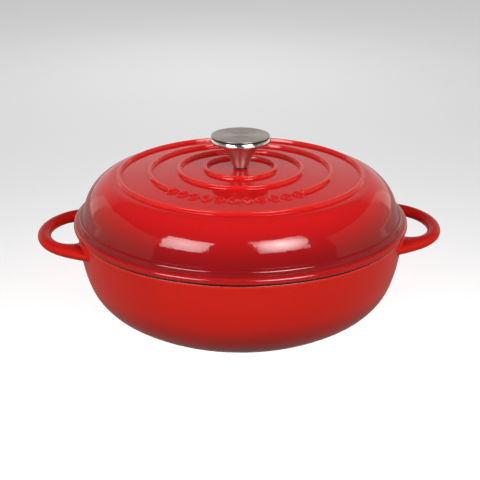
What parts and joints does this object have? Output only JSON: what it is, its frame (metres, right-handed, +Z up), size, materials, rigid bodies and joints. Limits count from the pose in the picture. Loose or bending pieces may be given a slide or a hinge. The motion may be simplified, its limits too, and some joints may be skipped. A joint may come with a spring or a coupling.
{
  "type": "dutch oven",
  "caption": "Shallow round enamelled cast iron casserole with two cast loop handles and a domed, ringed lid lifted by a trumpet-shaped steel knob.",
  "frame": {"origin": "centre of the foot ring in its resting plane, under the middle of the pot", "axes": "+Z up the pot's axis; X runs through both loop handles; -Y is the side of the lid that carries the raised ornament"},
  "size_m": [0.3594, 0.294, 0.1533],
  "materials": {
    "red_enamel": "gloss enamel",
    "polished_steel": "mirror polished",
    "brushed_steel": "brushed",
    "zinc_steel": "zinc plated",
    "silicone": "matte"
  },
  "bodies": {
    "pot_body": {"pot": "red_enamel"},
    "lid_body": {"lid": "red_enamel", "knob_shell": "polished_steel", "cap_seal": "silicone", "knob_cap": "brushed_steel", "knob_nut": "zinc_steel", "knob_gasket": "silicone", "knob_screw": "zinc_steel", "screw_washer": "zinc_steel", "spring_washer": "zinc_steel"}
  },
  "joints": [
    {"name": "lid_lift", "type": "slide", "parent": "pot_body", "child": "lid_body", "axis": [0, 0, 1], "range_m": [0, 0.15]}
  ]
}
